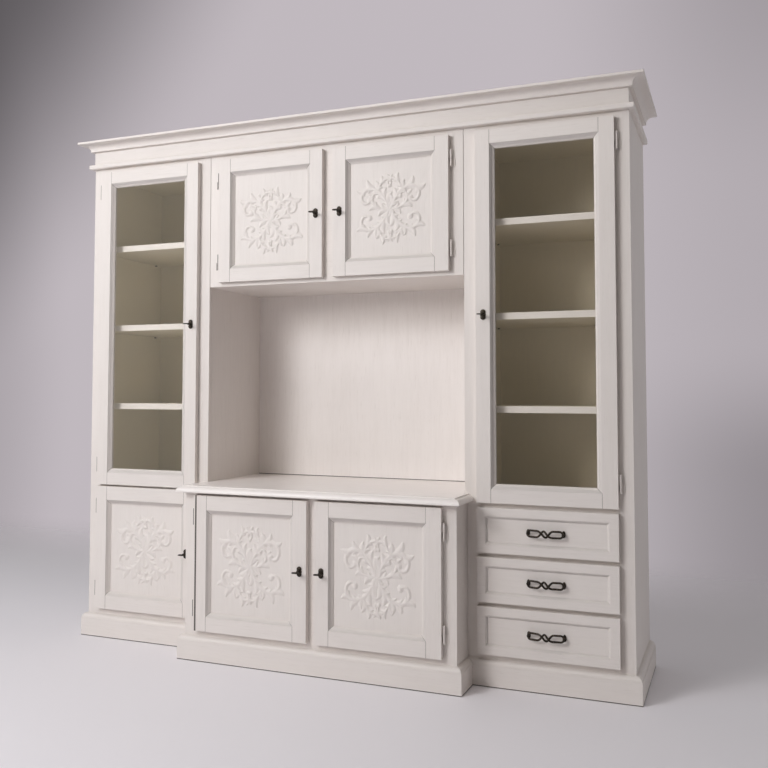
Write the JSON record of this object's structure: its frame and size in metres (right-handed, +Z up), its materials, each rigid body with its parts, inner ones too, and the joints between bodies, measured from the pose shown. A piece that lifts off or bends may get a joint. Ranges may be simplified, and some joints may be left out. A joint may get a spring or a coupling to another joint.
{
  "type": "entertainment wall unit",
  "caption": "Painted wood wall unit with glass-door towers, carved cupboard doors, an open niche over a projecting base, drawers and a cove cornice.",
  "frame": {"origin": "on the floor, under the middle of the closed unit's bounding box", "axes": "+Z up, +X along the width to the viewer's right, -Y towards the front of the doors"},
  "size_m": [2.39, 0.711, 2.15],
  "materials": {
    "painted_case": "ivory paint, satin, faint grain",
    "painted_trim": "ivory paint, satin, faint grain",
    "painted_front": "ivory paint, satin, faint grain",
    "painted_panel": "ivory paint over low relief carving",
    "bare_wood": "clear varnish",
    "hinge_white": "white enamel",
    "dark_iron": "blackened, waxed",
    "clear_glass": "clear float glass"
  },
  "bodies": {
    "carcass": {"tower_sides": "painted_case", "tower_decks": "painted_case", "left_face_frame": "painted_case", "right_face_frame": "painted_case", "upper_case": "painted_case", "upper_face_frame": "painted_case", "base_case": "painted_case", "base_face_frame": "painted_case", "back_panels": "painted_case", "worktop": "painted_trim", "frieze": "painted_case", "bead": "painted_trim", "cornice": "painted_trim", "dust_cover": "painted_case", "left_plinth": "painted_trim", "centre_plinth": "painted_trim", "right_plinth": "painted_trim", "shelves": "painted_case", "shelf_pins": "dark_iron", "drawer_runners": "bare_wood", "frame_hinge_halves": "hinge_white"},
    "left_glass_door": {"left_glass_door_frame": "painted_front", "left_glass_door_pane": "clear_glass", "left_glass_door_lock": "dark_iron"},
    "left_glass_door_key_turn": {"left_glass_door_key": "dark_iron"},
    "left_lower_door": {"left_lower_door_frame": "painted_front", "left_lower_door_panel": "painted_panel", "left_lower_door_lock": "dark_iron"},
    "left_lower_door_key_turn": {"left_lower_door_key": "dark_iron"},
    "upper_left_door": {"upper_left_door_frame": "painted_front", "upper_left_door_panel": "painted_panel", "upper_left_door_lock": "dark_iron"},
    "upper_left_door_key_turn": {"upper_left_door_key": "dark_iron"},
    "upper_right_door": {"upper_right_door_frame": "painted_front", "upper_right_door_panel": "painted_panel", "upper_right_door_lock": "dark_iron"},
    "upper_right_door_key_turn": {"upper_right_door_key": "dark_iron"},
    "base_left_door": {"base_left_door_frame": "painted_front", "base_left_door_panel": "painted_panel", "base_left_door_lock": "dark_iron"},
    "base_left_door_key_turn": {"base_left_door_key": "dark_iron"},
    "base_right_door": {"base_right_door_frame": "painted_front", "base_right_door_panel": "painted_panel", "base_right_door_lock": "dark_iron"},
    "base_right_door_key_turn": {"base_right_door_key": "dark_iron"},
    "right_glass_door": {"right_glass_door_frame": "painted_front", "right_glass_door_pane": "clear_glass", "right_glass_door_lock": "dark_iron"},
    "right_glass_door_key_turn": {"right_glass_door_key": "dark_iron"},
    "top_drawer": {"top_drawer_front": "painted_front", "top_drawer_box": "bare_wood", "top_drawer_pull": "dark_iron"},
    "middle_drawer": {"middle_drawer_front": "painted_front", "middle_drawer_box": "bare_wood", "middle_drawer_pull": "dark_iron"},
    "bottom_drawer": {"bottom_drawer_front": "painted_front", "bottom_drawer_box": "bare_wood", "bottom_drawer_pull": "dark_iron"}
  },
  "joints": [
    {"name": "left_glass_door_hinge", "type": "hinge", "parent": "carcass", "child": "left_glass_door", "pos_m": [-1.0975, -0.1565, 1.332], "axis": [0, 0, -1], "range_deg": [0, 110]},
    {"name": "left_glass_door_key_turn", "type": "hinge", "parent": "left_glass_door", "child": "left_glass_door_key_turn", "pos_m": [-0.6225, -0.1675, 1.332], "axis": [0, -1, 0], "range_deg": [0, 90]},
    {"name": "left_lower_door_hinge", "type": "hinge", "parent": "carcass", "child": "left_lower_door", "pos_m": [-1.0975, -0.1565, 0.382], "axis": [0, 0, -1], "range_deg": [0, 110]},
    {"name": "left_lower_door_key_turn", "type": "hinge", "parent": "left_lower_door", "child": "left_lower_door_key_turn", "pos_m": [-0.6345, -0.1675, 0.382], "axis": [0, -1, 0], "range_deg": [0, 90]},
    {"name": "upper_left_door_hinge", "type": "hinge", "parent": "carcass", "child": "upper_left_door", "pos_m": [-0.5, -0.1565, 1.756], "axis": [0, 0, -1], "range_deg": [0, 110]},
    {"name": "upper_left_door_key_turn", "type": "hinge", "parent": "upper_left_door", "child": "upper_left_door_key_turn", "pos_m": [-0.051, -0.1675, 1.756], "axis": [0, -1, 0], "range_deg": [0, 90]},
    {"name": "upper_right_door_hinge", "type": "hinge", "parent": "carcass", "child": "upper_right_door", "pos_m": [0.5, -0.1565, 1.756], "axis": [0, 0, 1], "range_deg": [0, 110]},
    {"name": "upper_right_door_key_turn", "type": "hinge", "parent": "upper_right_door", "child": "upper_right_door_key_turn", "pos_m": [0.051, -0.1675, 1.756], "axis": [0, 1, 0], "range_deg": [0, 90]},
    {"name": "base_left_door_hinge", "type": "hinge", "parent": "carcass", "child": "base_left_door", "pos_m": [-0.513, -0.3015, 0.38], "axis": [0, 0, -1], "range_deg": [0, 95]},
    {"name": "base_left_door_key_turn", "type": "hinge", "parent": "base_left_door", "child": "base_left_door_key_turn", "pos_m": [-0.0445, -0.3125, 0.38], "axis": [0, -1, 0], "range_deg": [0, 90]},
    {"name": "base_right_door_hinge", "type": "hinge", "parent": "carcass", "child": "base_right_door", "pos_m": [0.513, -0.3015, 0.38], "axis": [0, 0, 1], "range_deg": [0, 95]},
    {"name": "base_right_door_key_turn", "type": "hinge", "parent": "base_right_door", "child": "base_right_door_key_turn", "pos_m": [0.0445, -0.3125, 0.38], "axis": [0, 1, 0], "range_deg": [0, 90]},
    {"name": "right_glass_door_hinge", "type": "hinge", "parent": "carcass", "child": "right_glass_door", "pos_m": [1.0975, -0.1565, 1.332], "axis": [0, 0, 1], "range_deg": [0, 110]},
    {"name": "right_glass_door_key_turn", "type": "hinge", "parent": "right_glass_door", "child": "right_glass_door_key_turn", "pos_m": [0.6225, -0.1675, 1.332], "axis": [0, 1, 0], "range_deg": [0, 90]},
    {"name": "top_drawer_slide", "type": "slide", "parent": "carcass", "child": "top_drawer", "axis": [0, -1, 0], "range_m": [0, 0.3]},
    {"name": "middle_drawer_slide", "type": "slide", "parent": "carcass", "child": "middle_drawer", "axis": [0, -1, 0], "range_m": [0, 0.3]},
    {"name": "bottom_drawer_slide", "type": "slide", "parent": "carcass", "child": "bottom_drawer", "axis": [0, -1, 0], "range_m": [0, 0.3]}
  ]
}
